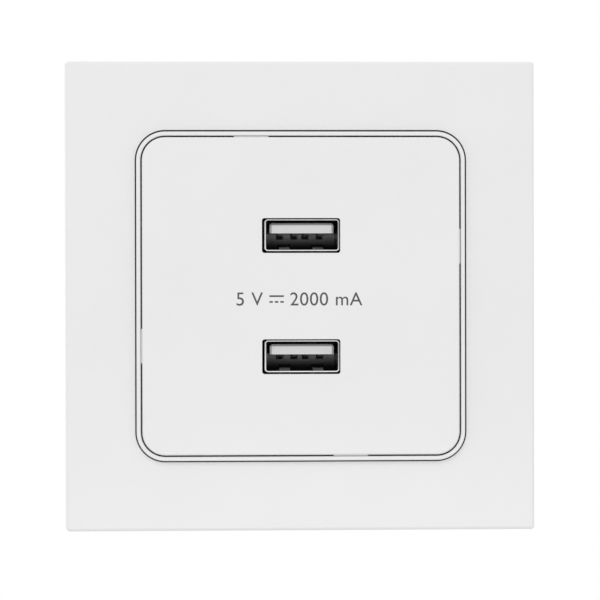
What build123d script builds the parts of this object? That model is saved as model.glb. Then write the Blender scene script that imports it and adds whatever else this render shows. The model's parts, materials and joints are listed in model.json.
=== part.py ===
from build123d import *
import os
from math import radians, tan

# Flush socket with two type A charging ports, for a 60 mm wall box.
# Millimetres. The wall plane is y = 0, the room lies towards -Y and +Z is up.
# A height is the distance from the wall plane towards the room, so depths in the box are negative heights.

# Cover frame
frame_side = 82.0
frame_height = 8.5
frame_wall = 2.0
frame_face = 2.0
frame_draft = 2.0
frame_corner = 0.6
frame_edge = 0.5
frame_rib = 1.2
frame_rib_offset = 14.0
collar_wall = 1.2
collar_depth = 3.9

# Cover plate and the ring around it
plate_side = 55.1
plate_corner = 4.0
plate_face = 2.0
plate_skirt = 1.2
plate_edge = 0.35
plate_proud = 1.3
skirt_depth = 5.2
plate_gap = 0.25
ring_wall = 0.73
ring_step = 0.3
ring_edge = 0.25
ring_gap = 0.25
groove_depth = 1.8
spigot_play = 0.06
foot_reach = 0.8
ring_base = 1.4
ring_seat = 6.5
latch_offset = 8.6
latch_width = 6.0
latch_reach = 0.6
latch_height = 0.85
latch_bar = 0.7
latch_play = 0.15
pad_thickness = 0.18
pad_drop = 0.6
pad_height = 2.0

# Ports, which sit a little right of and above the middle of their cut-outs
port_pitch = 21.0
port_shift_x = 0.15
port_shift_z = 0.07
port_width = 13.02
port_height = 5.64
port_sheet = 0.26
port_corner = 0.6
mouth_edge = 0.09
port_length = 14.0
port_recess = 0.25
cutout_play_x = 0.28
cutout_play_z = 0.2
cutout_corner = 0.45
cavity_depth = 8.9
tongue_width = 11.1
tongue_thickness = 1.76
tongue_top_gap = 0.48
tongue_setback = 0.8
tongue_bevel = 0.35
tongue_corner = 0.5
contact_places = (-3.5, -1.0, 1.0, 3.5)
contact_width = 1.0
contact_sheet = 0.25
contact_drop = 0.5
contact_slot = 1.3
contact_slot_width = 1.2
contact_setback = 1.6
finger_offset = 2.9
finger_width = 1.8
finger_length = 4.2
finger_setback = 1.6
finger_rise = 0.5

# Steel bracket
bracket_sheet = 1.2
bracket_margin = 3.5
bracket_corner = 4.0
bracket_flange = 2.0
bracket_flange_length = 36.0
box_screw_pitch = 60.0
box_slot_length = 7.0
box_slot_width = 4.2
box_head_room = 9.0
box_head_height = 2.2

# Spreader claws
claw_level = 8.5
claw_width = 6.0
claw_sheet = 1.5
claw_length = 15.3
claw_lever = 3.0
claw_heel = 1.6
claw_foot = 2.2
claw_tooth = 1.5
claw_bend = 1.0
claw_side_play = 0.15
claw_pivot_depth = 1.7
trunnion_radius = 0.9
pivot_play = 0.05
ear_radius = 1.9
claw_screw_radius = 1.5
claw_screw_head_radius = 2.75
claw_screw_head = 2.0
claw_screw_tip = 0.6
claw_screw_inset = 3.3
claw_screw_stroke = 1.2
claw_screw_access = 0.5
thread_collar_wall = 0.8
thread_collar = 1.2

# Drives of the screw heads
slot_width = 0.7
slot_depth = 0.9
recess_length = 2.4
recess_width = 0.6
recess_depth = 0.75

# Charger module
module_side_border = 8.3
module_end_border = 6.8
module_corner = 3.0
module_edge = 0.8
shell_wall = 1.5
opening_play = 0.4
nose_gap = 1.6
lip_wall = 0.75
lip_height = 3.0
seam = 0.25
fit_play = 0.1
boss_offset = 11.0
boss_radius = 2.4
boss_gap = 0.4
boss_depth = 7.0
boss_screw_radius = 1.2
boss_screw_head_radius = 2.2
boss_screw_head = 1.5
boss_screw_tip = 0.6
boss_screw_depth = 6.0
hole_play = 0.25
snap_width = 5.0
snap_height = 1.2
snap_level = 12.0
post = 4.0

# Circuit boards
board = 1.6
board_play = 0.4
board_post = 1.3
board_end_play = 0.3
link_pin = 0.64
link_pitch = 2.0
link_pins = 4
link_place = (2.4, -17.6)

# Parts of the power supply, with the transformer as the tallest
part_headroom = 1.9
core_width = 13.0
core_height = 12.0
core_depth = 6.0
core_leg = 2.5
core_centre_leg = 3.5
core_yoke = 2.0
core_place = (-7.0, -2.5)
winding = 2.0
winding_play = 0.1
winding_corner = 1.0
input_capacitor_place = (10.0, -13.0)
input_capacitor_radius = 4.0
output_capacitor_places = [(-12.5, -14.5), (-5.0, -14.5)]
output_capacitor_radius = 3.15
capacitor_height = 11.0
capacitor_rim = 0.45
choke_place = (12.0, -3.5)
choke_radius = 3.0
choke_waist = 2.4
choke_height = 7.0
choke_flange = 1.2
fuse_place = (13.5, 3.5)
fuse_radius = 1.9
fuse_waist = 1.7
fuse_height = 8.0
fuse_cap = 1.6
safety_capacitor_place = (1.8, -8.8)
safety_capacitor_radius = 3.4
safety_capacitor_thickness = 3.0
safety_capacitor_edge = 0.6
safety_capacitor_foot = 1.7
rectifier_place = (5.0, 2.4)
rectifier_size = (4.7, 3.9, 2.5)
controller_place = (5.5, -3.6)
charge_chip_place = (0.0, 0.0)
chip_size = (4.9, 3.4, 1.6)
lead_width = 0.4
lead_sheet = 0.35
lead_reach = 0.65
lead_count = 4

# Mains terminals
terminal_offset = 9.0
terminal_screw_radius = 1.5
terminal_screw_tip = 0.75
terminal_head_radius = 2.2
terminal_head = 1.6
terminal_access_radius = 1.9
cage_width = 6.4
cage_length = 6.0
cage_side = 0.9
cage_top = 1.2
cage_bottom = 1.0
cage_travel = 2.4
cage_board_gap = 0.6
wire_space = 3.0
tab_width = 4.0
tab_sheet = 1.0
tab_foot_drop = 1.5
cell_wall = 1.2
cell_play = 0.3
tab_play = 0.2
cage_play = 0.2
wire_funnel = 0.6

# Smallest corner radius of an inner face, and how far a cutter runs past the face it opens
least_corner = 0.2
overrun = 1.0

# Levels from the face of the plate down to the back of the module
plate_top = frame_height + plate_proud
plate_back = plate_top - plate_face
skirt_low = plate_top - skirt_depth
ring_top = plate_top - ring_step
base_low = bracket_sheet
base_top = base_low + ring_base
face_back = frame_height - frame_face
face_middle = frame_height - frame_face / 2
collar_low = frame_height - collar_depth
collar_window_low = collar_low + latch_bar
groove_floor = frame_height - groove_depth
foot_top = collar_low - latch_play
head_room_top = base_low + box_head_height
nose_front = plate_back - nose_gap
mouth = plate_top - port_recess
tongue_tip = mouth - tongue_setback
contact_end = mouth - contact_setback
cavity_back = mouth - cavity_depth
port_board_front = mouth - port_length
port_board_back = port_board_front - board
parting = port_board_back - lip_height
main_board_front = port_board_back - core_height - part_headroom
main_board_back = main_board_front - board
rear_inside = main_board_back - board_post
rear = rear_inside - shell_wall

# Front view sizes
plate_half = plate_side / 2
ring_inner_half = plate_half + plate_gap
ring_inner_corner = plate_corner + plate_gap
ring_half = ring_inner_half + ring_wall
ring_side = 2 * ring_half
ring_corner = ring_inner_corner + ring_wall
aperture_side = ring_side + 2 * ring_gap
aperture_corner = ring_corner + ring_gap
spigot_side = aperture_side - 2 * spigot_play
spigot_corner = aperture_corner - spigot_play
foot_side = aperture_side + 2 * foot_reach
foot_corner = aperture_corner + foot_reach
bracket_side = frame_side - 2 * (frame_wall + bracket_margin)
module_width = 2 * (ring_inner_half - module_side_border)
module_height = 2 * (ring_inner_half - module_end_border)
inside_width = module_width - 2 * shell_wall
inside_height = module_height - 2 * shell_wall
opening_width = module_width + 2 * opening_play
opening_height = module_height + 2 * opening_play
boss_level = opening_height / 2 + boss_gap + boss_radius
boss_places = [(x * boss_offset, z * boss_level) for x in (-1, 1) for z in (-1, 1)]
port_levels = {"upper": port_pitch / 2, "lower": -port_pitch / 2}
claw_screw_x = opening_width / 2 + claw_screw_inset
pivot_x = claw_screw_x + claw_lever
ear_inner = claw_width / 2 + claw_side_play
box_slots = [(x * box_screw_pitch / 2, 0) for x in (-1, 1)]
box_slots += [(0, z * box_screw_pitch / 2) for z in (-1, 1)]

# Terminal levels, worked down from the top wall of the module
terminal_ceiling = inside_height / 2
head_top = terminal_ceiling - fit_play
head_low = head_top - terminal_head
cage_high = head_low - cage_play - cage_travel
tab_top = cage_high - cage_top - tab_play
tab_low = tab_top - tab_sheet
cage_floor = tab_low - wire_space
cage_low = cage_floor - cage_bottom
cell_floor = cage_low - cage_play
board_top_level = cell_floor - cell_wall - board_end_play
board_bottom = board_play - inside_height / 2
cage_back = main_board_front + cage_board_gap
cage_front = cage_back + cage_length
terminal_depth = (cage_back + cage_front) / 2
cell_front = cage_front + cage_play
tab_leg_back = cell_front + tab_play
tab_leg_front = tab_leg_back + tab_sheet
tab_foot_low = board_top_level - tab_foot_drop


def at_height(h):
    return Plane.XZ.offset(h)


def slab(outline, low, high):
    # A front-view outline made solid between two heights
    return extrude(at_height(low) * outline, high - low)


def side_view(x):
    # Sketch plane seen from the left: first axis is the height, second is Z
    return Plane(origin=(x, 0, 0), x_dir=(0, -1, 0), z_dir=(-1, 0, 0))


def plan_view(z):
    # Sketch plane seen from above: first axis is X, second is the height
    return Plane(origin=(0, 0, z), x_dir=(1, 0, 0), z_dir=(0, 0, -1))


def towards_room(x, height, z):
    # Plane whose normal points into the room
    return Plane(origin=(x, -height, z), x_dir=(1, 0, 0), z_dir=(0, -1, 0))


def filled(points):
    return make_face(Polyline(*points, close=True))


def thick(plane, outline, width):
    return extrude(plane * outline, width / 2, both=True)


def rounded_square(side, corner):
    return RectangleRounded(side, side, corner)


def corner_within(corner, inset):
    # Corner radius of a wall's inner face, never quite sharp
    return max(corner - inset, least_corner)


def front_edges(part):
    return part.faces().sort_by(Axis.Y)[0].edges()


def rear_edges(part):
    return part.faces().sort_by(Axis.Y)[-1].edges()


def four_sides(part):
    return [Rot(0, 90 * turn, 0) * part for turn in range(4)]


def opposite(part):
    # The same piece half a turn round the socket's axis
    return Rot(0, 180, 0) * part


def row(count, pitch):
    # Places of a centred row
    return [(step - (count - 1) / 2) * pitch for step in range(count)]


def sheet_strip(points, bend, sheet):
    # Section of a bent strip: the path is one face of it, the sheet lies to its left
    path = FilletPolyline(*points, radius=bend)
    return make_face(offset(path, amount=sheet, side=Side.LEFT))


def screw(shank_radius, head_radius, head, bearing, tip, tip_radius):
    # Turned blank along local Z, head upwards
    rim = head / 4
    outline = [
        (0, tip),
        (tip_radius, tip),
        (shank_radius, tip + shank_radius - tip_radius),
        (shank_radius, bearing),
        (head_radius, bearing),
        (head_radius, bearing + head - rim),
        (head_radius - rim, bearing + head),
        (0, bearing + head),
    ]
    return revolve(Plane.XZ * filled(outline), Axis.Z)


def slotted(blank, head_radius, top):
    # A straight slot right across the head
    length = 2 * (head_radius + overrun)
    return blank - Pos(0, 0, top - slot_depth / 2) * Box(length, slot_width, slot_depth)


def outer_frame():
    slope = tan(radians(frame_draft))
    front_side = frame_side - 2 * frame_height * slope
    hollow_side = frame_side - 2 * frame_wall
    hollow_front = hollow_side - 2 * face_back * slope
    outside = loft([at_height(0) * rounded_square(frame_side, frame_corner),
                    at_height(frame_height) * rounded_square(front_side, frame_corner)])
    outside = fillet(front_edges(outside), frame_edge)
    hollow = loft([at_height(0) * rounded_square(hollow_side, frame_corner),
                   at_height(face_back) * rounded_square(hollow_front, frame_corner)])
    frame = outside - hollow
    rib_outer = frame_side / 2 - frame_wall / 2 - frame_height * slope / 2
    rib_inner = aperture_side / 2 + collar_wall / 2
    rib = Pos((rib_outer + rib_inner) / 2, 0) * Rectangle(rib_outer - rib_inner, frame_rib)
    for place in (-frame_rib_offset, frame_rib_offset):
        for turned in four_sides(slab(Pos(0, place) * rib, collar_low, face_middle)):
            frame += turned
    collar = rounded_square(aperture_side + 2 * collar_wall, aperture_corner + collar_wall)
    frame += slab(collar, collar_low, face_middle)
    aperture = rounded_square(aperture_side, aperture_corner)
    frame -= slab(aperture, collar_low - overrun, frame_height + overrun)
    # Windows that the wedges of the ring snap into
    window = Rectangle(2 * collar_wall, latch_width + 2 * latch_play)
    window = Pos(aperture_side / 2 + collar_wall / 2, -latch_offset) * window
    window_high = collar_window_low + latch_height + 2 * latch_play
    for turned in four_sides(slab(window, collar_window_low, window_high)):
        frame -= turned
    return frame


def carrier_ring():
    # A thin rim, a spigot that centres the frame below the shadow groove, and a foot under the frame's collar
    outer = rounded_square(ring_side, ring_corner)
    inner = rounded_square(2 * ring_inner_half, ring_inner_corner)
    spigot = rounded_square(spigot_side, spigot_corner)
    foot = rounded_square(foot_side, foot_corner)
    ring = fillet(front_edges(slab(outer - inner, base_low, ring_top)), ring_edge)
    ring += slab(spigot - inner, base_low, groove_floor)
    ring += slab(foot - inner, base_low, foot_top)
    ring += slab(foot - Rectangle(opening_width, opening_height), base_low, base_top)
    seat_place = ring_inner_half - ring_seat / 2
    for x in (-seat_place, seat_place):
        for z in (-seat_place, seat_place):
            seat = inner & (Pos(x, z) * Rectangle(ring_seat, ring_seat))
            ring += slab(seat, base_low, skirt_low)
    # Roofed room for the heads of the box screws
    for x, z in box_slots:
        head_room = Pos(x, z) * Rectangle(box_head_room, box_head_room)
        ring += slab(foot & head_room, head_room_top, foot_top)
        ring -= slab(head_room, 0, head_room_top)
    for sign in (-1, 1):
        access = Circle(claw_screw_head_radius + claw_screw_access)
        access = Pos(sign * claw_screw_x, sign * claw_level) * access
        ring -= slab(access, 0, base_top + overrun)
    for x, z in boss_places:
        hole = Pos(x, z) * Circle(boss_screw_radius + hole_play)
        ring -= slab(hole, 0, base_top + overrun)
    # Wedges that hold the frame, and windows for the wedges of the plate
    low = collar_window_low + latch_play
    high = low + latch_height
    root = ring_half - ring_wall / 2
    face = spigot_side / 2
    profile = [(root, low), (face + latch_reach, low), (face, high), (root, high)]
    wedge = thick(plan_view(-latch_offset), filled(profile), latch_width)
    for turned in four_sides(wedge):
        ring += turned
    window = Pos(ring_half, latch_offset) * Rectangle(4 * ring_wall, latch_width + 2 * latch_play)
    window_low = skirt_low + latch_play
    window_high = window_low + latch_height + 2 * latch_play
    for turned in four_sides(slab(window, window_low, window_high)):
        ring -= turned
    return ring


def port_window():
    # Cut-out around one port
    return RectangleRounded(port_width + 2 * cutout_play_x, port_height + 2 * cutout_play_z, cutout_corner)


def cover_plate():
    outline = rounded_square(plate_side, plate_corner)
    plate = fillet(front_edges(slab(outline, skirt_low, plate_top)), plate_edge)
    inside = rounded_square(plate_side - 2 * plate_skirt, corner_within(plate_corner, plate_skirt))
    plate -= slab(inside, skirt_low, plate_back)
    for level in port_levels.values():
        plate -= slab(Pos(0, level) * port_window(), skirt_low, plate_top + overrun)
    # Locating pads close the gap in front of each snap wedge
    pad = Pos(plate_half, latch_offset) * Rectangle(2 * pad_thickness, latch_width)
    pad = slab(pad, plate_top - pad_drop - pad_height, plate_top - pad_drop)
    low = skirt_low + 2 * latch_play
    high = low + latch_height
    root = plate_half - plate_skirt / 2
    profile = [(root, low), (plate_half, low), (plate_half + latch_reach, high), (root, high)]
    wedge = thick(plan_view(latch_offset), filled(profile), latch_width)
    for turned in four_sides(pad) + four_sides(wedge):
        plate += turned
    return plate


def claw_ears():
    # Two bent ears for the claw on the right, and the threaded collar of its screw
    ear = Pos(pivot_x, -claw_pivot_depth) * Circle(ear_radius)
    ear += Pos(pivot_x, -claw_pivot_depth / 2) * Rectangle(2 * ear_radius, claw_pivot_depth)
    ears = Part()
    for sign in (-1, 1):
        level = claw_level + sign * (ear_inner + bracket_sheet / 2)
        ears += thick(plan_view(level), ear, bracket_sheet)
    pivot = plan_view(claw_level) * Pos(pivot_x, -claw_pivot_depth) * Circle(trunnion_radius + pivot_play)
    ears -= extrude(pivot, 2 * ear_inner, both=True)
    collar = Circle(claw_screw_radius + thread_collar_wall) - Circle(claw_screw_radius + pivot_play)
    return ears + slab(Pos(claw_screw_x, claw_level) * collar, 0, bracket_sheet + thread_collar)


def mounting_bracket():
    outline = rounded_square(bracket_side, bracket_corner)
    outline -= Rectangle(opening_width, opening_height)
    for x, z in box_slots:
        turn = 0 if z == 0 else 90
        outline -= Pos(x, z) * Rot(0, 0, turn) * SlotOverall(box_slot_length, box_slot_width)
    for x, z in boss_places:
        outline -= Pos(x, z) * Circle(boss_screw_radius + hole_play)
    for sign in (-1, 1):
        outline -= Pos(sign * pivot_x, sign * claw_level) * Rectangle(2 * ear_radius, 2 * ear_inner)
        outline -= Pos(sign * claw_screw_x, sign * claw_level) * Circle(claw_screw_radius + pivot_play)
    bracket = slab(outline, 0, bracket_sheet)
    flange = Rectangle(bracket_flange_length, bracket_sheet)
    flange_place = bracket_side / 2 - bracket_sheet / 2
    for z in (-flange_place, flange_place):
        bracket += slab(Pos(0, z) * flange, 0, bracket_sheet + bracket_flange)
    ears = claw_ears()
    return bracket + ears + opposite(ears)


def claw_right():
    # Bell crank of bent sheet: heel under the screw, long arm, and a foot with two teeth
    half = claw_sheet / 2
    path = [
        (-claw_lever - claw_heel, -half),
        (-half, -half),
        (-half, -claw_length - half),
        (claw_foot + claw_tooth + half, -claw_length - half),
    ]
    arm = Pos(pivot_x, -claw_pivot_depth) * sheet_strip(path, claw_bend, claw_sheet)
    claw = thick(plan_view(claw_level), arm, claw_width)
    # The foot is cut back to two points
    root = pivot_x + half + claw_foot
    tip = root + claw_tooth
    quarter = claw_width / 4
    waste = Pos(root + 2 * claw_tooth, 0) * Rectangle(4 * claw_tooth, 2 * claw_width)
    for side in (-quarter, quarter):
        waste -= filled([(root, side - quarter), (tip, side), (root, side + quarter)])
    claw -= slab(Pos(0, claw_level) * waste, -2 * claw_length, -claw_length / 2)
    trunnion = Pos(pivot_x, -claw_pivot_depth) * Circle(trunnion_radius)
    trunnion_length = half + claw_side_play + bracket_sheet
    for sign in (-1, 1):
        start = plan_view(claw_level + sign * (claw_width / 2 - half))
        claw += extrude(start * trunnion, -sign * trunnion_length)
    return claw


def claw_screw_right():
    tip = claw_sheet / 2 - claw_pivot_depth + pivot_play
    bearing = bracket_sheet + thread_collar + claw_screw_stroke
    blank = screw(claw_screw_radius, claw_screw_head_radius, claw_screw_head, bearing, tip, claw_screw_tip)
    blank = slotted(blank, claw_screw_head_radius, bearing + claw_screw_head)
    return towards_room(claw_screw_x, 0, claw_level) * blank


def module_screws():
    top = base_top + boss_screw_head
    blank = screw(boss_screw_radius, boss_screw_head_radius, boss_screw_head,
                  base_top, -boss_screw_depth, boss_screw_tip)
    recess = Pos(0, 0, top - recess_depth / 2) * Box(recess_length, recess_width, recess_depth)
    blank -= recess
    blank -= Rot(0, 0, 90) * recess
    return [towards_room(x, 0, z) * blank for x, z in boss_places]


def module_outline():
    return RectangleRounded(module_width, module_height, module_corner)


def module_inside():
    return RectangleRounded(inside_width, inside_height, corner_within(module_corner, shell_wall))


def snap_places(height, width, reach):
    # Blocks through the side walls, centred on the lip, where the shells snap together
    middle = parting + lip_height / 2
    block = Rectangle(reach, width)
    places = [(x * inside_width / 2, z * snap_level) for x in (-1, 1) for z in (-1, 1)]
    return [slab(Pos(x, z) * block, middle - height / 2, middle + height / 2) for x, z in places]


def module_front_shell():
    shell = fillet(front_edges(slab(module_outline(), parting, nose_front)), module_edge)
    shell = chamfer(rear_edges(shell), seam)
    shell -= slab(module_inside(), parting, nose_front - shell_wall)
    # Corner posts press on the port board
    for x in (-1, 1):
        for z in (-1, 1):
            place = Pos(x * (inside_width - post) / 2, z * (inside_height - post) / 2)
            corner_post = module_inside() & (place * Rectangle(post, post))
            shell += slab(corner_post, port_board_front, nose_front - shell_wall)
    for level in port_levels.values():
        window = Pos(port_shift_x, level + port_shift_z) * port_window()
        shell -= slab(window, nose_front - shell_wall - overrun, nose_front + overrun)
    # Screw bosses join the end walls
    web = boss_level - module_height / 2 + shell_wall / 2
    for x, z in boss_places:
        inwards = -1 if z > 0 else 1
        boss = Pos(x, z) * Circle(boss_radius)
        boss += Pos(x, z + inwards * web / 2) * Rectangle(2 * boss_radius, web)
        pilot = Pos(x, z) * Circle(boss_screw_radius + pivot_play)
        shell += slab(boss, -boss_depth, 0)
        shell -= slab(pilot, -boss_screw_depth - pivot_play, 0)
    for window in snap_places(snap_height + 2 * fit_play, snap_width + 2 * fit_play, 2 * shell_wall):
        shell -= window
    return shell


def module_rear_shell():
    shell = fillet(rear_edges(slab(module_outline(), rear, parting)), module_edge)
    shell = chamfer(front_edges(shell), seam)
    shell -= slab(module_inside(), rear_inside, parting)
    # A lip reaches into the front shell and carries the snap catches
    lip_corner = corner_within(module_corner, shell_wall + fit_play)
    lip = RectangleRounded(inside_width - 2 * fit_play, inside_height - 2 * fit_play, lip_corner)
    lip_inset = 2 * (fit_play + lip_wall)
    lip_inside = RectangleRounded(inside_width - lip_inset, inside_height - lip_inset,
                                  corner_within(lip_corner, lip_wall))
    shell += slab(lip - lip_inside, parting, port_board_back)
    root = RectangleRounded(module_width - shell_wall, module_height - shell_wall,
                            corner_within(module_corner, shell_wall / 2))
    shell += slab(root - lip_inside, parting - lip_wall, parting)
    for catch in snap_places(snap_height, snap_width, shell_wall):
        shell += catch
    for x in (-terminal_offset, terminal_offset):
        shell += terminal_cell(x)
        shell -= terminal_ways(x)
    post_x = inside_width / 2 - post / 2
    for x in (-post_x, post_x):
        for z in (board_top_level - post / 2, board_bottom + post / 2):
            foot = Pos(x, z) * Rectangle(post, post)
            shell += slab(foot, rear_inside - shell_wall / 2, main_board_back)
    return shell


def terminal_cell(x):
    # Walls that guide one cage, open towards the room
    width = cage_width + 2 * cell_play
    low = cell_floor - cell_wall
    high = terminal_ceiling + shell_wall / 2
    outer = Pos(x, (low + high) / 2) * Rectangle(width + 2 * cell_wall, high - low)
    inner = Pos(x, (cell_floor + terminal_ceiling) / 2) * Rectangle(width, terminal_ceiling - cell_floor)
    return slab(outer - inner, rear_inside - shell_wall / 2, cell_front)


def terminal_ways(x):
    # Wire entry with a funnel in the back wall, and the screwdriver hole in the top wall
    place = Pos(x, cage_floor + wire_space / 2)
    width = cage_width - 2 * cage_side
    way = place * Rectangle(width, wire_space)
    funnel_mouth = place * Rectangle(width + 2 * wire_funnel, wire_space + 2 * wire_funnel)
    entry = slab(way, rear - overrun, rear_inside + overrun)
    entry += loft([at_height(rear) * funnel_mouth, at_height(rear + wire_funnel) * way])
    access = Pos(x, -terminal_depth, terminal_ceiling - overrun) * Circle(terminal_access_radius)
    return entry + extrude(access, shell_wall + 2 * overrun)


def board_plate(low, high, back):
    # A board between two levels, its corners rounded to clear the shell's corners
    outline = RectangleRounded(inside_width - 2 * board_play, high - low, module_corner)
    return slab(Pos(0, (low + high) / 2) * outline, back, back + board)


def board_link_pins():
    x, z = link_place
    pin = Rectangle(link_pin, link_pin)
    places = [Pos(x + step, z) for step in row(link_pins, link_pitch)]
    return [slab(place * pin, main_board_front, port_board_back) for place in places]


def usb_shell(level):
    outer = RectangleRounded(port_width, port_height, port_corner)
    inner = RectangleRounded(port_width - 2 * port_sheet, port_height - 2 * port_sheet,
                             corner_within(port_corner, port_sheet))
    # The sheet's outer edge is broken round the mouth
    place = Pos(port_shift_x, level)
    shell = chamfer(front_edges(slab(place * outer, port_board_front, mouth)), mouth_edge)
    shell -= slab(place * inner, port_board_front, mouth)
    # Two spring fingers below, cut free on three sides and bowed inwards
    root = mouth - finger_setback
    end = root - finger_length
    wall = level - port_height / 2 + port_sheet
    bow = [(root + port_sheet, wall), ((root + end) / 2, wall + finger_rise), (end, wall)]
    bow += [(height, z - port_sheet) for height, z in reversed(bow)]
    finger = filled(bow)
    for x in (port_shift_x - finger_offset, port_shift_x + finger_offset):
        window = Rectangle(finger_width + 2 * port_sheet, 2 * port_sheet)
        shell -= slab(Pos(x, wall - port_sheet / 2) * window, end - port_sheet, root)
        shell += thick(side_view(x), finger, finger_width)
    return shell


def tongue_top(level):
    return level + port_height / 2 - port_sheet - tongue_top_gap


def usb_insulator(level):
    width = port_width - 2 * (port_sheet + pivot_play)
    height = port_height - 2 * (port_sheet + pivot_play)
    block = RectangleRounded(width, height, corner_within(port_corner, port_sheet))
    body = slab(Pos(port_shift_x, level) * block, port_board_front, cavity_back)
    # The tongue has rounded upper corners and a bevelled nose
    low = tongue_top(level) - tongue_thickness
    section = Pos(port_shift_x, low + tongue_thickness / 2) * Rectangle(tongue_width, tongue_thickness)
    section = fillet(section.vertices().group_by(Axis.Y)[-1], tongue_corner)
    tongue = slab(section, cavity_back - overrun, tongue_tip)
    nose = front_edges(tongue).sort_by(Axis.Z)
    body += chamfer(nose[1:], tongue_bevel)
    groove = contact_sheet + pivot_play
    groove_width = contact_width + 2 * pivot_play
    for place in contact_places:
        x = port_shift_x + place
        way = Pos(x, low + groove - contact_slot / 2) * Rectangle(contact_slot_width, contact_slot)
        seat = Pos(x, low + groove / 2) * Rectangle(groove_width, groove)
        body -= slab(way, port_board_front, cavity_back)
        body -= slab(seat, cavity_back - overrun, contact_end)
    return body


def usb_contacts(level):
    low = tongue_top(level) - tongue_thickness
    end = contact_end - pivot_play
    bow = (end + cavity_back) / 2
    path = [(port_board_front, low), (cavity_back, low), (bow, low - contact_drop), (end, low)]
    path += [(height, z + contact_sheet) for height, z in reversed(path)]
    strip = filled(path)
    return [thick(side_view(port_shift_x + place), strip, contact_width) for place in contact_places]


def standing(profile, place):
    # A turned part on the main board: the profile runs out from its axis, foot at zero
    x, z = place
    return towards_room(x, main_board_front, z) * revolve(Plane.XZ * filled(profile), Axis.Z)


def capacitor(radius, place):
    # Sleeved can with a crimped groove near its foot
    rim = capacitor_rim
    waist = radius - rim / 2
    top = capacitor_height
    profile = [
        (0, 0), (radius - rim, 0), (radius, rim), (radius, 3 * rim), (waist, 4 * rim), (radius, 5 * rim),
        (radius, top - rim), (radius - rim, top), (0, top),
    ]
    return standing(profile, place)


def spool(radius, waist, height, flange, place):
    # A turned part with a flange or cap at each end
    profile = [
        (0, 0), (radius, 0), (radius, flange), (waist, flange), (waist, height - flange),
        (radius, height - flange), (radius, height), (0, height),
    ]
    return standing(profile, place)


def transformer_core():
    x, z = core_place
    window = (core_width - core_centre_leg) / 2 - core_leg
    side = core_centre_leg / 2 + window / 2
    outline = Rectangle(core_width, core_height)
    for sign in (-1, 1):
        outline -= Pos(sign * side, 0) * Rectangle(window, core_height - 2 * core_yoke)
    return thick(plan_view(z), Pos(x, main_board_front + core_height / 2) * outline, core_depth)


def transformer_coil():
    outline = RectangleRounded(core_centre_leg + 2 * winding, core_depth + 2 * winding, winding_corner)
    outline -= Rectangle(core_centre_leg + 2 * winding_play, core_depth + 2 * winding_play)
    low = main_board_front + core_yoke + winding_play
    high = main_board_front + core_height - core_yoke - winding_play
    return slab(Pos(*core_place) * outline, low, high)


def safety_capacitor():
    x, z = safety_capacitor_place
    radius = safety_capacitor_radius
    disc = Pos(main_board_front + radius, z) * Circle(radius)
    foot = Pos(main_board_front + safety_capacitor_foot / 2, z) * Rectangle(safety_capacitor_foot, radius)
    body = thick(side_view(x), disc + foot, safety_capacitor_thickness)
    return fillet(body.faces().filter_by(Axis.X).edges(), safety_capacitor_edge)


def chip(place, size, low, sign):
    # Moulded package with leads along two edges, on the face of a board
    x, z = place
    width, depth, height = size
    body = Pos(x, z) * Rectangle(width, depth)
    package = slab(body, *sorted((low + sign * lead_sheet, low + sign * height)))
    for step in row(lead_count, width / lead_count):
        legs = Pos(x + step, z) * Rectangle(lead_width, depth + 2 * lead_reach)
        package += slab(legs, *sorted((low, low + sign * 2 * lead_sheet)))
    return package


def terminal_tab(x):
    # Strip that runs through the cage, turns down in front of the cell and back to the board
    tab_foot_top = tab_foot_low + tab_sheet
    outline = [
        (cage_back, tab_top), (tab_leg_front, tab_top), (tab_leg_front, tab_foot_low),
        (main_board_front, tab_foot_low), (main_board_front, tab_foot_top),
        (tab_leg_back, tab_foot_top), (tab_leg_back, tab_low), (cage_back, tab_low),
    ]
    return thick(side_view(x), filled(outline), tab_width)


def terminal_cage(x):
    inner_height = cage_high - cage_top - cage_floor
    outer = Pos(x, (cage_high + cage_low) / 2) * Rectangle(cage_width, cage_high - cage_low)
    inner = Pos(x, cage_floor + inner_height / 2) * Rectangle(cage_width - 2 * cage_side, inner_height)
    cage = slab(outer - inner, cage_back, cage_front)
    thread = Pos(x, -terminal_depth, cage_floor) * Circle(terminal_screw_radius + pivot_play)
    return cage - extrude(thread, cage_high)


def terminal_screw(x):
    blank = screw(terminal_screw_radius, terminal_head_radius, terminal_head,
                  head_low, tab_top + pivot_play, terminal_screw_tip)
    return Pos(x, -terminal_depth, 0) * slotted(blank, terminal_head_radius, head_top)


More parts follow.
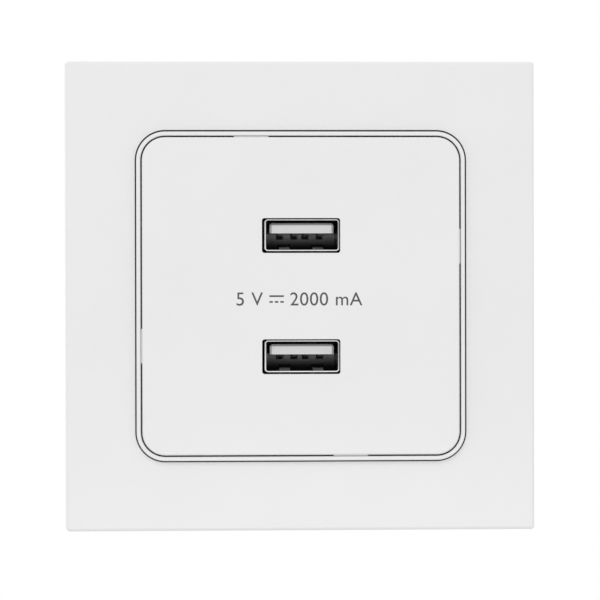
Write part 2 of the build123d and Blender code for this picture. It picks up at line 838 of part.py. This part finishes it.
def pieces():
    made = {
        "outer_frame": outer_frame(),
        "carrier_ring": carrier_ring(),
        "cover_plate": cover_plate(),
        "mounting_bracket": mounting_bracket(),
        "claw_right": claw_right(),
        "claw_left": opposite(claw_right()),
        "claw_screw_right": claw_screw_right(),
        "claw_screw_left": opposite(claw_screw_right()),
        "module_screws": module_screws(),
        "module_front_shell": module_front_shell(),
        "module_rear_shell": module_rear_shell(),
        "port_board": board_plate(board_bottom, -board_bottom, port_board_back),
        "main_board": board_plate(board_bottom, board_top_level, main_board_back),
        "board_link_pins": board_link_pins(),
        "transformer_core": transformer_core(),
        "transformer_coil": transformer_coil(),
        "input_capacitor": capacitor(input_capacitor_radius, input_capacitor_place),
        "output_capacitors": [capacitor(output_capacitor_radius, place)
                              for place in output_capacitor_places],
        "line_choke": spool(choke_radius, choke_waist, choke_height, choke_flange, choke_place),
        "fuse": spool(fuse_radius, fuse_waist, fuse_height, fuse_cap, fuse_place),
        "safety_capacitor": safety_capacitor(),
        "bridge_rectifier": chip(rectifier_place, rectifier_size, main_board_front, 1),
        "controller_chip": chip(controller_place, chip_size, main_board_front, 1),
        "charge_chip": chip(charge_chip_place, chip_size, port_board_back, -1),
    }
    for place, level in port_levels.items():
        made["usb_shell_" + place] = usb_shell(level + port_shift_z)
        made["usb_insulator_" + place] = usb_insulator(level + port_shift_z)
        made["usb_contacts_" + place] = usb_contacts(level + port_shift_z)
    for pole, x in {"live": -terminal_offset, "neutral": terminal_offset}.items():
        made["terminal_tab_" + pole] = terminal_tab(x)
        made["terminal_cage_" + pole] = terminal_cage(x)
        made["terminal_screw_" + pole] = terminal_screw(x)
    return made


os.makedirs("parts", exist_ok=True)
for name, piece in pieces().items():
    shape = Compound(children=piece) if isinstance(piece, list) else piece
    export_step(shape, os.path.join("parts", name + ".step"))
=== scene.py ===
import json
from math import pi

import bmesh
import bpy
from mathutils import Matrix, Vector


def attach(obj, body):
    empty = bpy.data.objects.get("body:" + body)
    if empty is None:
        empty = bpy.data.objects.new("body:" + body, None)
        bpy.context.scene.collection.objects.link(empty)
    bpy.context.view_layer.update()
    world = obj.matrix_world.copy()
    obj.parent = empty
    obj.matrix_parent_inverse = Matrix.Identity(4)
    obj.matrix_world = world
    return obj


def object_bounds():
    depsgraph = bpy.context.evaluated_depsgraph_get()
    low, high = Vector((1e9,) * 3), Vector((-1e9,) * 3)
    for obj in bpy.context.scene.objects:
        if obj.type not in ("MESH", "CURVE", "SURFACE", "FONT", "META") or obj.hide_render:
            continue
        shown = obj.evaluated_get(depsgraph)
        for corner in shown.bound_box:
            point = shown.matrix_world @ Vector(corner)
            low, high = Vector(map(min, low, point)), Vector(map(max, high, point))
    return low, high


# metres throughout, in the frame's axes: x to the right, z up; height is out of the wall, along -y
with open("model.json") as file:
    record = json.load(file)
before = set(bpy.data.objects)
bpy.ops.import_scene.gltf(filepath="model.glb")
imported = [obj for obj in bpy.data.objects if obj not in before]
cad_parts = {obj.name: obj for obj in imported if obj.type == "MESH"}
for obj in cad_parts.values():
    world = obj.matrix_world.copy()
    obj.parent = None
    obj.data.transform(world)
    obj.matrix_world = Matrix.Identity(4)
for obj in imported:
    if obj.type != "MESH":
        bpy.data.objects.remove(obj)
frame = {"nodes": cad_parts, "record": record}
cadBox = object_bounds()
nodes = frame["nodes"]
scene = bpy.context.scene
scene.view_settings.view_transform = "Standard"
print("frame loaded,", len(nodes), "nodes")

# camera: a straight front view, slightly from the left
shot = {
    "place": (-0.0337, -0.65, 0.0034),
    "aim": (0.0003, 0.0, -0.00074),
    "roll": -0.00192,
    "lens": 221.97,
    "sensor": 36.0,
    "near": 0.01,
}


def facing(place, aim):
    turn = (Vector(aim) - Vector(place)).to_track_quat("-Z", "Y")
    return Matrix.Translation(place) @ turn.to_matrix().to_4x4()


def setCamera():
    data = bpy.data.cameras.new("frontCamera")
    data.lens = shot["lens"]
    data.sensor_width = shot["sensor"]
    data.clip_start = shot["near"]
    camera = bpy.data.objects.new("frontCamera", data)
    scene.collection.objects.link(camera)
    camera.matrix_world = facing(shot["place"], shot["aim"]) @ Matrix.Rotation(shot["roll"], 4, "Z")
    scene.camera = camera


setCamera()
print("camera set")


# sums with sockets, for the air and the finishes
def calc(tree, kind, first, second=None):
    step = tree.nodes.new("ShaderNodeMath")
    step.operation = kind
    for socket, value in zip(step.inputs, (first, second)):
        if isinstance(value, (int, float)):
            socket.default_value = value
        elif value is not None:
            tree.links.new(value, socket)
    return step.outputs[0]


def times(tree, first, second):
    return calc(tree, "MULTIPLY", first, second)


def most(tree, first, second):
    return calc(tree, "MAXIMUM", first, second)


def apart(tree, first, second):
    return calc(tree, "ABSOLUTE", calc(tree, "SUBTRACT", first, second))


# soft white studio: even air, a broad lamp high in front, a weak one behind,
# and one for the sheen on the lower part of the face
studio = {
    "air": 0.868,
    "backdrop": 1.0,
    "lamps": {
        "keyLamp": {"place": (-0.25, -1.0, 0.8), "size": 0.7, "power": 3.4, "sheen": False},
        "backLamp": {"place": (0.55, 1.1, 0.3), "size": 0.6, "power": 2.2, "sheen": False},
        "sheenLamp": {"place": (0.06, -0.9, -0.33), "size": 0.57, "power": 0.85, "sheen": True},
    },
}


def whiteAir():
    world = bpy.data.worlds.new("studioAir")
    scene.world = world
    world.use_nodes = True
    tree = world.node_tree
    tree.nodes.clear()
    rays = tree.nodes.new("ShaderNodeLightPath").outputs
    seen = most(tree, rays["Is Camera Ray"], rays["Is Glossy Ray"])
    seen = most(tree, seen, rays["Is Transmission Ray"])  # these rays see the plain white backdrop
    mix = tree.nodes.new("ShaderNodeMixShader")
    tree.links.new(seen, mix.inputs["Fac"])
    for socket, strength in zip(mix.inputs[1:], (studio["air"], studio["backdrop"])):
        light = tree.nodes.new("ShaderNodeBackground")
        light.inputs["Color"].default_value = (1, 1, 1, 1)
        light.inputs["Strength"].default_value = strength
        tree.links.new(light.outputs[0], socket)
    out = tree.nodes.new("ShaderNodeOutputWorld")
    tree.links.new(mix.outputs[0], out.inputs["Surface"])


def hangLamp(name, place, size, power, sheen):
    # a sheen lamp only shows in reflections, the others never do, so they leave no hot spots
    data = bpy.data.lights.new(name, "AREA")
    data.shape = "DISK"
    data.size = size
    data.energy = power
    lamp = bpy.data.objects.new(name, data)
    scene.collection.objects.link(lamp)
    lamp.matrix_world = facing(place, (0, 0, 0))
    lamp.visible_glossy = sheen
    lamp.visible_diffuse = not sheen


whiteAir()
for name, lamp in studio["lamps"].items():
    hangLamp(name, **lamp)
print("studio lit")

# finishes: every one reads Object coordinates, so its pattern stays with the piece
noiseReach = (0.3, 0.7)  # nearly all of a noise lies between these
softEdge = 0.00005  # width over which a zone of painted shade ends


def startFinish(name):
    material = bpy.data.materials.new(name)
    material.use_nodes = True
    tree = material.node_tree
    shader = tree.nodes["Principled BSDF"]
    place = tree.nodes.new("ShaderNodeTexCoord")
    return material, tree, shader, place.outputs["Object"]


def noise(tree, where, scale, detail, stretch=None):
    cloud = tree.nodes.new("ShaderNodeTexNoise")
    cloud.inputs["Scale"].default_value = scale
    cloud.inputs["Detail"].default_value = detail
    if stretch:
        mapping = tree.nodes.new("ShaderNodeMapping")
        mapping.inputs["Scale"].default_value = stretch
        tree.links.new(where, mapping.inputs["Vector"])
        where = mapping.outputs["Vector"]
    tree.links.new(where, cloud.inputs["Vector"])
    return cloud.outputs["Fac"]


def spread(tree, value, low, high, lowIn=noiseReach[0], highIn=noiseReach[1]):
    remap = tree.nodes.new("ShaderNodeMapRange")
    remap.inputs["From Min"].default_value = lowIn
    remap.inputs["From Max"].default_value = highIn
    remap.inputs["To Min"].default_value = low
    remap.inputs["To Max"].default_value = high
    tree.links.new(value, remap.inputs["Value"])
    return remap.outputs["Result"]


def tint(tree, value, dark, light):
    ramp = tree.nodes.new("ShaderNodeValToRGB")
    for stop, place, colour in zip(ramp.color_ramp.elements, noiseReach, (dark, light)):
        stop.position = place
        stop.color = (*colour, 1)
    tree.links.new(value, ramp.inputs["Fac"])
    return ramp.outputs["Color"]


def relief(tree, shader, value, distance):
    bump = tree.nodes.new("ShaderNodeBump")
    bump.inputs["Distance"].default_value = distance
    tree.links.new(value, bump.inputs["Height"])
    tree.links.new(bump.outputs["Normal"], shader.inputs["Normal"])


def shaded(tree, colour, factor):
    scale = tree.nodes.new("ShaderNodeVectorMath")
    scale.operation = "SCALE"
    tree.links.new(colour, scale.inputs[0])
    tree.links.new(factor, scale.inputs["Scale"])
    return scale.outputs["Vector"]


# zones of painted shade, by the place of a point: 1 inside, 0 outside
def axesOf(tree, where):
    split = tree.nodes.new("ShaderNodeSeparateXYZ")
    tree.links.new(where, split.inputs[0])
    return split.outputs["X"], times(tree, split.outputs["Y"], -1.0), split.outputs["Z"]


def within(tree, value, limit, blur=softEdge):
    return spread(tree, value, 1.0, 0.0, limit - blur, limit)


def beyond(tree, value, limit, blur=softEdge):
    return spread(tree, value, 0.0, 1.0, limit, limit + blur)


def toned(tree, zone, tone):
    return spread(tree, zone, 1.0, tone, 0.0, 1.0)  # the tone inside the zone, 1 outside


# painted shade in the narrow joints between frame, ring and plate, and in the plate's cut-outs round the
# ports
joints = {
    "dark": 0.06,
    "core": 0.02355,  # half side of the square that all the rounded corners are struck from
    "plateSide": 0.0036,  # this and the next three are steps out from that square
    "ringMiddle": 0.0046,
    "apertureEdge": 0.00535,
    "lipEdge": 0.00526,
    "lipBlur": 0.00001,
    "lipShift": 0.00003,  # the painted joint shade reaches a hair onto the frame's face above and on the right, as if the ring sat a hair off
    "floor": (0.0044, 0.0046),  # this and the next four are heights
    "innerTop": 0.00918,
    "ringTop": 0.00845,
    "frameTop": 0.00848,
    "cutoutTop": 0.00976,
    "cutoutLevel": 0.0105,
    "cutoutHalf": (0.0069, 0.0031),
}


def outFrom(tree, x, z):
    steps = [calc(tree, "SUBTRACT", calc(tree, "ABSOLUTE", axis), joints["core"]) for axis in (x, z)]
    steps = [most(tree, step, 0.0) for step in steps]
    return calc(tree, "SQRT", calc(tree, "ADD", *[times(tree, step, step) for step in steps]))


# a painted dark strip on the frame's face along the joint, a hair wide above and on the right
def lipShadeZone(tree, x, z):
    shifted = [calc(tree, "SUBTRACT", axis, joints["lipShift"]) for axis in (x, z)]
    return within(tree, outFrom(tree, *shifted), joints["lipEdge"], joints["lipBlur"])


# painted shade on the walls of the plate's cut-outs round the ports
def cutoutZone(tree, x, height, z):
    across, up = joints["cutoutHalf"]
    aside = apart(tree, calc(tree, "ABSOLUTE", z), joints["cutoutLevel"])
    zone = times(tree, within(tree, calc(tree, "ABSOLUTE", x), across), within(tree, aside, up))
    return times(tree, zone, within(tree, height, joints["cutoutTop"]))


def jointShade(innerTop, outerTop, onFrame=False):
    # painted shade on the walls of narrow joints, below a height which differs inside and outside the ring
    def factor(tree, where):
        x, height, z = axesOf(tree, where)
        out = outFrom(tree, x, z)
        inner = within(tree, out, joints["ringMiddle"])
        inside = times(tree, within(tree, height, innerTop), inner)
        outside = calc(tree, "SUBTRACT", within(tree, height, outerTop), inner)
        shade = times(tree, most(tree, inside, outside), beyond(tree, out, joints["plateSide"]))
        if onFrame:
            shade = times(tree, shade, within(tree, out, joints["apertureEdge"]))
            shade = most(tree, shade, lipShadeZone(tree, x, z))
        shade = times(tree, shade, spread(tree, height, 0.0, 1.0, *joints["floor"]))
        return toned(tree, most(tree, shade, cutoutZone(tree, x, height, z)), joints["dark"])
    return factor


# painted light and shade in and around the ports, as shares of a finish's tone
ports = {
    "levels": {"upper": 0.01057, "lower": -0.01043},
    "middle": 0.00015,
    "rim": (0.0092, 0.00945),  # heights where the shell's painted shade gives way to the rim
    "rimTones": (1.0, 0.78),  # painted tones of the rim's lower and upper stretch
    "rimHalf": 0.0026,
    "rimRight": (0.0058, 0.0064),  # where the painted shade on the rim's right stretch begins
    "rightTone": 0.64,
    "rightHalf": 0.0024,
    "rightBlur": 0.0003,
    "sideEdge": 0.00641,  # where the broken edge starts left and right
    "sideBlur": 0.00001,
    "fingerPlace": 0.0029,
    "fingerHalf": 0.00095,
    "fingerTop": 0.002,
    # painted tones: the fingers lighter than the painted shade inside the shell and on its outside in the
    # gap round the mouth
    "fingerTone": 0.27,
    "sheetMiddle": (0.00638, 0.00269),
    "insideTone": 0.25,
    "gapTone": 0.10,
    "gapFloor": (0.0058, 0.0062),
    "cavityBack": 0.0006,
    "tongue": (0.0072, 0.0083),  # heights where the wall's painted shade gives way to the tongue's end
    "tongueTop": 0.00208,
    "tongueHalf": 0.00555,
    "tongueFoot": 0.00032,
    "behindTongue": 0.12,
    "bevel": 0.00035,
    "bevelTones": (0.62, 0.85),  # painted shade on the upper bevel, on the side bevels
    "wallTone": 1.05,
    "wallReach": (-0.0022, -0.0001),
    "wallFall": 1.92,
    "fingerShadowShift": 0.00024,  # painted shadow on the wall behind each finger, shifted to where the wall shows it
    "fingerShadowHalf": 0.00114,
    "fingerShadowTop": -0.00154,
    "fingerShadowTone": 0.02,
}


def fromMiddle(tree, x):
    return apart(tree, x, ports["middle"])


def fingerZone(tree, where, level):
    x, height, z = axesOf(tree, where)
    aside = apart(tree, fromMiddle(tree, x), ports["fingerPlace"])
    zone = times(tree, within(tree, aside, ports["fingerHalf"]), within(tree, height, ports["rim"][0]))
    return times(tree, zone, within(tree, z, level - ports["fingerTop"]))


def dullZone(level):
    # fingers and the side edges of the mouth are rubbed dull
    def zone(tree, where):
        x, height, _ = axesOf(tree, where)
        edge = beyond(tree, fromMiddle(tree, x), ports["sideEdge"], ports["sideBlur"])
        edge = times(tree, edge, spread(tree, height, 0.0, 1.0, *ports["rim"]))
        return most(tree, fingerZone(tree, where, level), edge)
    return zone


def shellShade(level):
    # painted light and shade: the rim is painted as catching the light, least above and on the right; the
    # inside is painted dark, its fingers less so
    def factor(tree, where):
        x, height, z = axesOf(tree, where)
        off = apart(tree, z, level)
        lower, upper = level - ports["rimHalf"], level + ports["rimHalf"]
        rim = times(tree, spread(tree, height, 0.0, 1.0, *ports["rim"]),
                    spread(tree, z, *ports["rimTones"], lower, upper))
        right = times(tree, spread(tree, x, 0.0, 1.0, *ports["rimRight"]),
                      within(tree, off, ports["rightHalf"], ports["rightBlur"]))
        rim = times(tree, rim, toned(tree, right, ports["rightTone"]))
        across, up = ports["sheetMiddle"]
        inner = times(tree, within(tree, fromMiddle(tree, x), across), within(tree, off, up))
        gap = times(tree, spread(tree, height, 1.0, ports["gapTone"], *ports["gapFloor"]),
                    calc(tree, "SUBTRACT", 1.0, inner))
        base = calc(tree, "ADD", gap, times(tree, inner, ports["insideTone"]))
        finger = times(tree, fingerZone(tree, where, level), ports["fingerTone"])
        return most(tree, rim, most(tree, finger, base))
    return factor


def wallDepth(tree, x, height, z, level):
    # painted shade on the back wall of a port: darker downwards, darkest in the painted shadows behind the
    # fingers and behind the tongue
    low, high = ports["wallReach"]
    depth = calc(tree, "POWER", spread(tree, z, 0.0, 1.0, level + low, level + high), ports["wallFall"])
    foot = level + ports["tongueFoot"]
    depth = times(tree, times(tree, depth, ports["wallTone"]),
                  spread(tree, z, 1.0, ports["behindTongue"], foot - softEdge, foot))
    shifted = calc(tree, "SUBTRACT", x, ports["fingerShadowShift"])
    aside = apart(tree, fromMiddle(tree, shifted), ports["fingerPlace"])
    fingerShadow = times(tree, within(tree, aside, ports["fingerShadowHalf"]), within(tree, z, level + ports["fingerShadowTop"]))
    depth = times(tree, depth, toned(tree, fingerShadow, ports["fingerShadowTone"]))
    return most(tree, depth, within(tree, height, ports["cavityBack"]))


def wallShade(level):
    # painted shade: little light gets into a port, so the wall behind the tongue's end is painted dark; the
    # end keeps its tone, with painted shade on its bevels
    def factor(tree, where):
        x, height, z = axesOf(tree, where)
        upper, sides = ports["bevelTones"]
        top = level + ports["tongueTop"] - ports["bevel"]
        side = ports["tongueHalf"] - ports["bevel"]
        nose = times(tree, spread(tree, z, 1.0, upper, top - softEdge, top),
                     spread(tree, fromMiddle(tree, x), 1.0, sides, side - softEdge, side))
        lit = spread(tree, height, 0.0, 1.0, *ports["tongue"])
        deep = times(tree, calc(tree, "SUBTRACT", 1.0, lit), wallDepth(tree, x, height, z, level))
        return calc(tree, "ADD", times(tree, lit, nose), deep)
    return factor


moulding = {
    "cloud": 60,
    "cloudDetail": 3.0,
    "cloudDip": 0.985,
    "grainDetail": 2.0,
    "roughSpan": (0.9, 1.1),  # shares of the roughness between which the grain plays
}
plating = {
    "cloudDetail": 4.0,
    "streak": 900,
    "streakDetail": 3.0,
    "roughSpan": (0.75, 1.3),
}


def mouldedFinish(name, tone, rough, grain, depth, gloss=0.5, shade=None):
    material, tree, shader, where = startFinish(name)
    dark = tuple(c * moulding["cloudDip"] for c in tone)
    colour = tint(tree, noise(tree, where, moulding["cloud"], moulding["cloudDetail"]), dark, tone)
    if shade:
        colour = shaded(tree, colour, shade(tree, where))
    tree.links.new(colour, shader.inputs["Base Color"])
    skin = noise(tree, where, grain, moulding["grainDetail"])
    span = [rough * share for share in moulding["roughSpan"]]
    tree.links.new(spread(tree, skin, *span), shader.inputs["Roughness"])
    relief(tree, shader, skin, depth)
    shader.inputs["Specular IOR Level"].default_value = gloss
    return material


def platedFinish(name, tone, rough, stretch, depth, cloud=240, cloudDip=0.86,
                 shade=None, metal=1.0, dull=None):
    # rolled or drawn metal: fine streaks along one way, and a cloudy plating
    material, tree, shader, where = startFinish(name)
    dark = tuple(c * cloudDip for c in tone)
    colour = tint(tree, noise(tree, where, cloud, plating["cloudDetail"]), dark, tone)
    if shade:
        colour = shaded(tree, colour, shade(tree, where))
    tree.links.new(colour, shader.inputs["Base Color"])
    streaks = noise(tree, where, plating["streak"], plating["streakDetail"], stretch)
    span = [rough * share for share in plating["roughSpan"]]
    tree.links.new(spread(tree, streaks, *span), shader.inputs["Roughness"])
    relief(tree, shader, streaks, depth)
    shader.inputs["Metallic"].default_value = metal
    if dull:
        tree.links.new(spread(tree, dull(tree, where), metal, 0.0, 0.0, 1.0), shader.inputs["Metallic"])
    return material


# moulded: tone, roughness, scale and depth of the grain, gloss
# plated: tone, roughness, stretch of the streaks along x, y and z, their depth, scale and dip of the clouds
finishes = {
    "housing_plastic": mouldedFinish("housingPlastic", (0.58, 0.58, 0.57), 0.5, 5200, 1.2e-5, 0.4),
    "zinc_steel": platedFinish("zincSheet", (0.62, 0.64, 0.67), 0.34, (1, 1, 0.06), 3e-6, 700, 0.93),
    "screw_steel": platedFinish("turnedZinc", (0.66, 0.65, 0.61), 0.28, (1, 0.06, 1), 2e-6),
    "tinned_pin": platedFinish("tinnedStrip", (0.70, 0.70, 0.68), 0.32, (1, 0.1, 1), 2e-6),
    "clamp_brass": platedFinish("clampBrass", (0.72, 0.55, 0.25), 0.3, (0.1, 1, 1), 2e-6),
    "board_green": mouldedFinish("solderMask", (0.02, 0.07, 0.04), 0.35, 2200, 3e-6),
    "ferrite": mouldedFinish("ferrite", (0.055, 0.055, 0.058), 0.55, 6000, 8e-6),
    "winding_tape": mouldedFinish("filmTape", (0.74, 0.52, 0.06), 0.3, 1500, 3e-6),
    "capacitor_sleeve": mouldedFinish("shrinkSleeve", (0.03, 0.03, 0.036), 0.3, 1400, 3e-6),
    "disc_blue": mouldedFinish("dippedBlue", (0.05, 0.16, 0.42), 0.35, 1800, 6e-6),
    "fuse_body": mouldedFinish("coatedFuse", (0.34, 0.21, 0.11), 0.45, 2500, 4e-6),
    "chip_black": mouldedFinish("mouldedChip", (0.03, 0.03, 0.03), 0.5, 5000, 5e-6),
}

# the nodes that have painted shade, and painted light, in their finish
whiteGloss = {"tone": (0.80, 0.80, 0.80), "rough": 0.13, "grain": 2600, "depth": 2.5e-6}
frameShade = jointShade(joints["frameTop"], joints["frameTop"], onFrame=True)
ringShade = jointShade(joints["innerTop"], joints["ringTop"])
plateShade = jointShade(joints["innerTop"], joints["innerTop"])
nodeFinishes = {
    "outer_frame": mouldedFinish("frameGloss", **whiteGloss, shade=frameShade),
    "carrier_ring": mouldedFinish("ringGloss", **whiteGloss, shade=ringShade),
    "cover_plate": mouldedFinish("plateGloss", **whiteGloss, shade=plateShade),
}
nickelSheet = {"tone": (0.74, 0.74, 0.73), "rough": 0.24, "stretch": (1, 0.06, 1), "depth": 1.5e-6}
tonguePlastic = {"tone": (0.67, 0.67, 0.67), "rough": 0.42, "grain": 4200, "depth": 3e-6, "gloss": 0.08}
contactMetal = {"rough": 0.5, "stretch": (1, 0.06, 1), "depth": 1e-6, "metal": 0.3}
# the contacts are painted darker than their metal, the lower ones more: painted shade deep in each port
contactShadeTones = {"upper": (0.4, 0.396, 0.382), "lower": (0.28, 0.2772, 0.2674)}
for place, level in ports["levels"].items():
    nodeFinishes["usb_shell_" + place] = platedFinish(
        "nickelSheet_" + place, **nickelSheet, shade=shellShade(level), dull=dullZone(level))
    nodeFinishes["usb_insulator_" + place] = mouldedFinish(
        "tonguePlastic_" + place, **tonguePlastic, shade=wallShade(level))
    nodeFinishes["usb_contacts_" + place] = platedFinish(
        "contactMetal_" + place, contactShadeTones[place], **contactMetal)
for row in frame["record"]["subparts"]:
    mesh = nodes[row["node"]].data
    mesh.materials.clear()
    mesh.materials.append(nodeFinishes.get(row["node"]) or finishes[row["material_slot"]])

# generic print: a plain supply marking between the ports, and the poles by the wire entries
ink = {
    "finish": {"tone": (0.085, 0.085, 0.087), "rough": 0.45, "grain": 3000, "depth": 1e-6, "gloss": 0.3},
    "proud": 0.000005,
    "depth": 0.00002,
    "spacing": 1.05,
    "weight": 0.002,  # strokes grown this much, as a share of the letter size
    "rawDepth": 0.01,  # depth of the letters before they are pressed flat
}
supplyMark = {
    "before": "5 V",
    "after": "2000 mA",
    "length": 0.02185,
    "capHeight": 0.0023,
    "middle": (-0.0003, -0.0005),
    "signWidth": 0.0025,
    "signStroke": 0.0003,
    "signGap": 0.001,
    "dashPitch": 1.6,  # step from dash to dash, in dash lengths
}
poleMarks = {
    "places": {"L": -0.009, "N": 0.009},
    "capHeight": 0.0018,
    "level": 0.0072,
}
upright = Matrix.Rotation(pi / 2, 4, "X")


def meshPiece(name, shape, material, body):
    bmesh.ops.recalc_face_normals(shape, faces=shape.faces)
    data = bpy.data.meshes.new(name)
    shape.to_mesh(data)
    shape.free()
    data.materials.append(material)
    piece = bpy.data.objects.new(name, data)
    scene.collection.objects.link(piece)
    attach(piece, body)


def letters(words, capHeight):
    # the words as a flat solid mesh, foot of the first one at the origin, face at zero
    curve = bpy.data.curves.new("letters", "FONT")
    curve.body = words
    curve.extrude = ink["rawDepth"]
    curve.space_character = ink["spacing"]
    curve.offset = ink["weight"]
    holder = bpy.data.objects.new("letters", curve)
    scene.collection.objects.link(holder)
    seen = bpy.context.evaluated_depsgraph_get()
    mesh = bpy.data.meshes.new_from_object(holder.evaluated_get(seen))
    bpy.data.objects.remove(holder)
    bpy.data.curves.remove(curve)
    low = Vector([min(v.co[i] for v in mesh.vertices) for i in range(3)])
    high = Vector([max(v.co[i] for v in mesh.vertices) for i in range(3)])
    size = capHeight / (high.y - low.y)
    thin = ink["depth"] / (high.z - low.z)
    mesh.transform(Matrix.Diagonal((size, size, thin, 1)) @ Matrix.Translation((-low.x, -low.y, -high.z)))
    return mesh, (high.x - low.x) * size


def layOn(shape, mesh, place):
    mesh.transform(place)
    shape.from_mesh(mesh)
    bpy.data.meshes.remove(mesh)


def bar(shape, x, y, width, place):
    sizes = Matrix.Diagonal((width, supplyMark["signStroke"], ink["depth"], 1))
    middle = Matrix.Translation((x, y, -ink["depth"] / 2))
    bmesh.ops.create_cube(shape, size=1.0, matrix=place @ middle @ sizes)


def printSupply(material):
    shape = bmesh.new()
    x, z = supplyMark["middle"]
    face = Matrix.Translation((x, cadBox[0][1] - ink["proud"], z)) @ upright
    before, beforeWidth = letters(supplyMark["before"], supplyMark["capHeight"])
    after, afterWidth = letters(supplyMark["after"], supplyMark["capHeight"])
    left = -supplyMark["length"] / 2
    right = supplyMark["length"] / 2 - afterWidth
    drop = -supplyMark["capHeight"] / 2
    layOn(shape, before, face @ Matrix.Translation((left, drop, 0)))
    layOn(shape, after, face @ Matrix.Translation((right, drop, 0)))
    sign = (left + beforeWidth + right) / 2
    off = supplyMark["signGap"] / 2
    bar(shape, sign, off, supplyMark["signWidth"], face)
    dash = supplyMark["signWidth"] / (2 * supplyMark["dashPitch"] + 1)
    for step in (-1, 0, 1):
        bar(shape, sign + step * dash * supplyMark["dashPitch"], -off, dash, face)
    meshPiece("supplyPrint", shape, material, "socket")


def printPoles(material):
    shape = bmesh.new()
    for letter, x in poleMarks["places"].items():
        mesh, width = letters(letter, poleMarks["capHeight"])
        place = Matrix.Translation((x, cadBox[1][1] + ink["proud"], poleMarks["level"]))
        turned = place @ Matrix.Rotation(pi, 4, "Z") @ upright
        layOn(shape, mesh, turned @ Matrix.Translation((-width / 2, -poleMarks["capHeight"] / 2, 0)))
    meshPiece("polePrint", shape, material, "socket")


printInk = mouldedFinish("printInk", **ink["finish"])
printSupply(printInk)
printPoles(printInk)
print("marks printed")

# floor, well under the socket, which hangs in its wall
floorDisc = {
    "drop": 0.16,
    "radius": 0.62,
    "segments": 96,
    "tone": (0.87, 0.87, 0.87),
    "cloud": 6,
    "cloudDip": 0.98,
    "rough": 0.7,
    "gloss": 0.2,
}


def layFloor():
    shape = bmesh.new()
    bmesh.ops.create_circle(shape, cap_ends=True, segments=floorDisc["segments"],
                            radius=floorDisc["radius"])
    bmesh.ops.translate(shape, verts=shape.verts, vec=(0, 0, cadBox[0][2] - floorDisc["drop"]))
    data = bpy.data.meshes.new("studioFloor")
    shape.to_mesh(data)
    shape.free()
    paint, tree, shader, where = startFinish("floorPaint")
    dark = tuple(c * floorDisc["cloudDip"] for c in floorDisc["tone"])
    cloud = noise(tree, where, floorDisc["cloud"], moulding["cloudDetail"])
    tree.links.new(tint(tree, cloud, dark, floorDisc["tone"]), shader.inputs["Base Color"])
    shader.inputs["Roughness"].default_value = floorDisc["rough"]
    shader.inputs["Specular IOR Level"].default_value = floorDisc["gloss"]
    data.materials.append(paint)
    floor = bpy.data.objects.new("studioFloor", data)
    scene.collection.objects.link(floor)


layFloor()
print("floor laid")
